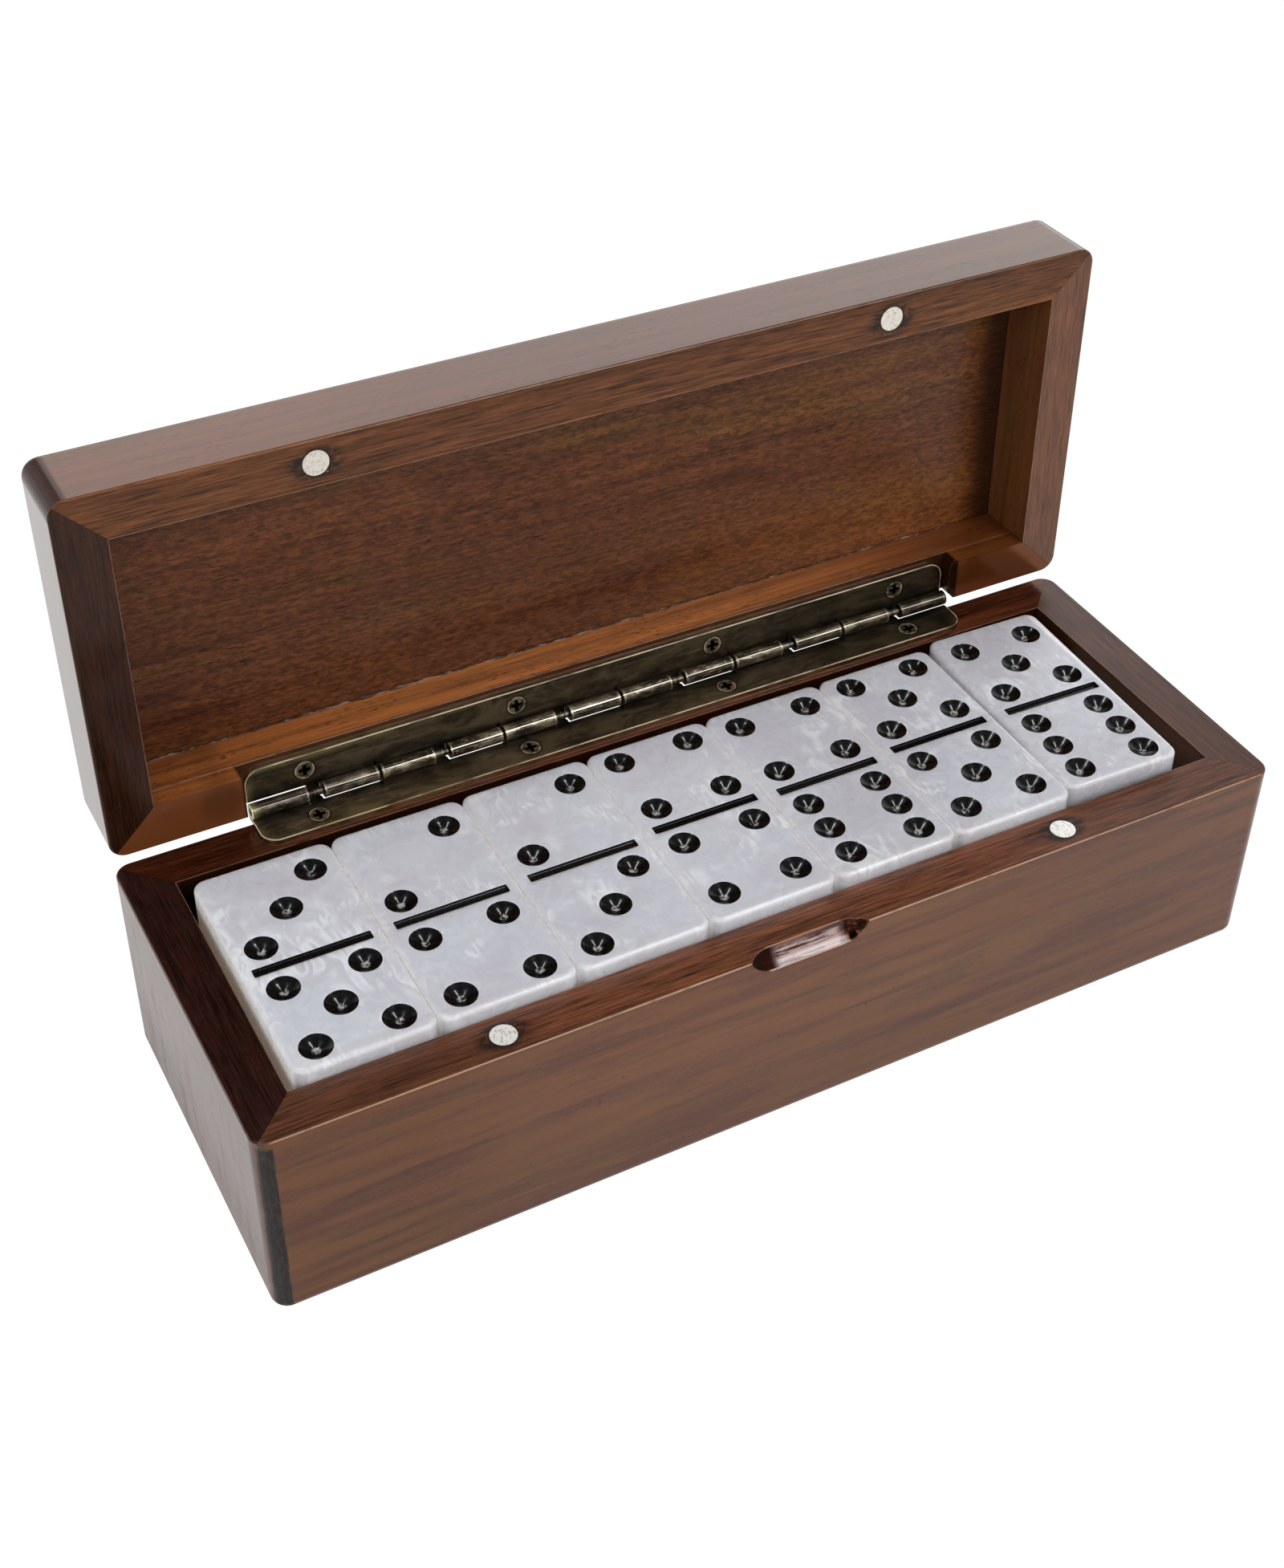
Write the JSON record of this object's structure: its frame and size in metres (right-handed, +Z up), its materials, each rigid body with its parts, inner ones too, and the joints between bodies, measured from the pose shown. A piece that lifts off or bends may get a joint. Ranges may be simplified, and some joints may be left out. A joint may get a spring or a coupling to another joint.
{
  "type": "domino storage box",
  "caption": "Hinged wooden box with mitred corners, holding a full set of domino tiles; a long brass stop hinge holds its lid upright.",
  "frame": {"origin": "middle of the base's underside, on the table", "axes": "+X along the box, to the right of someone facing the scoop; +Y towards the hinge; +Z up. The lid is stored open at its stop."},
  "size_m": [0.2246, 0.0992, 0.1298],
  "materials": {
    "wood": "reddish brown stain under a satin clear coat, grain along each rail",
    "panel_wood": "darker brown stain, satin, grain along the box",
    "bronze": "antique bronze plating, worn brighter on edges and knuckles",
    "magnet": "nickel-plated disc magnet",
    "tile": "polished pearl white resin, pips and groove filled glossy black"
  },
  "bodies": {
    "base": {"base_front_wall": "wood", "base_back_wall": "wood", "base_left_wall": "wood", "base_right_wall": "wood", "base_floor": "panel_wood", "base_magnet_left": "magnet", "base_magnet_right": "magnet", "hinge_base_leaf": "bronze", "hinge_pin": "bronze", "base_hinge_screws": "bronze"},
    "lid": {"lid_front_rail": "wood", "lid_back_rail": "wood", "lid_left_rail": "wood", "lid_right_rail": "wood", "lid_panel": "panel_wood", "lid_magnet_left": "magnet", "lid_magnet_right": "magnet", "hinge_lid_leaf": "bronze", "lid_hinge_screws": "bronze"},
    "tile_0_0": {"tile_0_0": "tile"},
    "tile_0_1": {"tile_0_1": "tile"},
    "tile_0_2": {"tile_0_2": "tile"},
    "tile_0_3": {"tile_0_3": "tile"},
    "tile_0_4": {"tile_0_4": "tile"},
    "tile_0_5": {"tile_0_5": "tile"},
    "tile_0_6": {"tile_0_6": "tile"},
    "tile_1_1": {"tile_1_1": "tile"},
    "tile_1_2": {"tile_1_2": "tile"},
    "tile_1_3": {"tile_1_3": "tile"},
    "tile_1_4": {"tile_1_4": "tile"},
    "tile_1_5": {"tile_1_5": "tile"},
    "tile_1_6": {"tile_1_6": "tile"},
    "tile_2_2": {"tile_2_2": "tile"},
    "tile_2_5": {"tile_2_5": "tile"},
    "tile_2_6": {"tile_2_6": "tile"},
    "tile_3_3": {"tile_3_3": "tile"},
    "tile_3_4": {"tile_3_4": "tile"},
    "tile_3_6": {"tile_3_6": "tile"},
    "tile_4_5": {"tile_4_5": "tile"},
    "tile_6_6": {"tile_6_6": "tile"},
    "tile_3_5": {"tile_3_5": "tile"},
    "tile_2_4": {"tile_2_4": "tile"},
    "tile_2_3": {"tile_2_3": "tile"},
    "tile_4_4": {"tile_4_4": "tile"},
    "tile_4_6": {"tile_4_6": "tile"},
    "tile_5_5": {"tile_5_5": "tile"},
    "tile_5_6": {"tile_5_6": "tile"}
  },
  "joints": [
    {"name": "lid_hinge", "type": "hinge", "parent": "base", "child": "lid", "pos_m": [0, 0.041, 0.0484], "axis": [-1, 0, 0], "range_deg": [-91.3, 0]},
    {"name": "lift_0_0", "type": "slide", "parent": "base", "child": "tile_0_0", "axis": [0, 0, 1], "range_m": [0, 0.045]},
    {"name": "lift_0_1", "type": "slide", "parent": "base", "child": "tile_0_1", "axis": [0, 0, 1], "range_m": [0, 0.045]},
    {"name": "lift_0_2", "type": "slide", "parent": "base", "child": "tile_0_2", "axis": [0, 0, 1], "range_m": [0, 0.045]},
    {"name": "lift_0_3", "type": "slide", "parent": "base", "child": "tile_0_3", "axis": [0, 0, 1], "range_m": [0, 0.045]},
    {"name": "lift_0_4", "type": "slide", "parent": "base", "child": "tile_0_4", "axis": [0, 0, 1], "range_m": [0, 0.045]},
    {"name": "lift_0_5", "type": "slide", "parent": "base", "child": "tile_0_5", "axis": [0, 0, 1], "range_m": [0, 0.045]},
    {"name": "lift_0_6", "type": "slide", "parent": "base", "child": "tile_0_6", "axis": [0, 0, 1], "range_m": [0, 0.045]},
    {"name": "lift_1_1", "type": "slide", "parent": "tile_0_0", "child": "tile_1_1", "axis": [0, 0, 1], "range_m": [0, 0.034]},
    {"name": "lift_1_2", "type": "slide", "parent": "tile_0_1", "child": "tile_1_2", "axis": [0, 0, 1], "range_m": [0, 0.034]},
    {"name": "lift_1_3", "type": "slide", "parent": "tile_0_2", "child": "tile_1_3", "axis": [0, 0, 1], "range_m": [0, 0.034]},
    {"name": "lift_1_4", "type": "slide", "parent": "tile_0_3", "child": "tile_1_4", "axis": [0, 0, 1], "range_m": [0, 0.034]},
    {"name": "lift_1_5", "type": "slide", "parent": "tile_0_4", "child": "tile_1_5", "axis": [0, 0, 1], "range_m": [0, 0.034]},
    {"name": "lift_1_6", "type": "slide", "parent": "tile_0_5", "child": "tile_1_6", "axis": [0, 0, 1], "range_m": [0, 0.034]},
    {"name": "lift_2_2", "type": "slide", "parent": "tile_0_6", "child": "tile_2_2", "axis": [0, 0, 1], "range_m": [0, 0.034]},
    {"name": "lift_2_5", "type": "slide", "parent": "tile_1_1", "child": "tile_2_5", "axis": [0, 0, 1], "range_m": [0, 0.023]},
    {"name": "lift_2_6", "type": "slide", "parent": "tile_1_2", "child": "tile_2_6", "axis": [0, 0, 1], "range_m": [0, 0.023]},
    {"name": "lift_3_3", "type": "slide", "parent": "tile_1_3", "child": "tile_3_3", "axis": [0, 0, 1], "range_m": [0, 0.023]},
    {"name": "lift_3_4", "type": "slide", "parent": "tile_1_4", "child": "tile_3_4", "axis": [0, 0, 1], "range_m": [0, 0.023]},
    {"name": "lift_3_6", "type": "slide", "parent": "tile_1_5", "child": "tile_3_6", "axis": [0, 0, 1], "range_m": [0, 0.023]},
    {"name": "lift_4_5", "type": "slide", "parent": "tile_1_6", "child": "tile_4_5", "axis": [0, 0, 1], "range_m": [0, 0.023]},
    {"name": "lift_6_6", "type": "slide", "parent": "tile_2_2", "child": "tile_6_6", "axis": [0, 0, 1], "range_m": [0, 0.023]},
    {"name": "lift_3_5", "type": "slide", "parent": "tile_2_5", "child": "tile_3_5", "axis": [0, 0, 1], "range_m": [0, 0.012]},
    {"name": "lift_2_4", "type": "slide", "parent": "tile_2_6", "child": "tile_2_4", "axis": [0, 0, 1], "range_m": [0, 0.012]},
    {"name": "lift_2_3", "type": "slide", "parent": "tile_3_3", "child": "tile_2_3", "axis": [0, 0, 1], "range_m": [0, 0.012]},
    {"name": "lift_4_4", "type": "slide", "parent": "tile_3_4", "child": "tile_4_4", "axis": [0, 0, 1], "range_m": [0, 0.012]},
    {"name": "lift_4_6", "type": "slide", "parent": "tile_3_6", "child": "tile_4_6", "axis": [0, 0, 1], "range_m": [0, 0.012]},
    {"name": "lift_5_5", "type": "slide", "parent": "tile_4_5", "child": "tile_5_5", "axis": [0, 0, 1], "range_m": [0, 0.012]},
    {"name": "lift_5_6", "type": "slide", "parent": "tile_6_6", "child": "tile_5_6", "axis": [0, 0, 1], "range_m": [0, 0.012]}
  ]
}
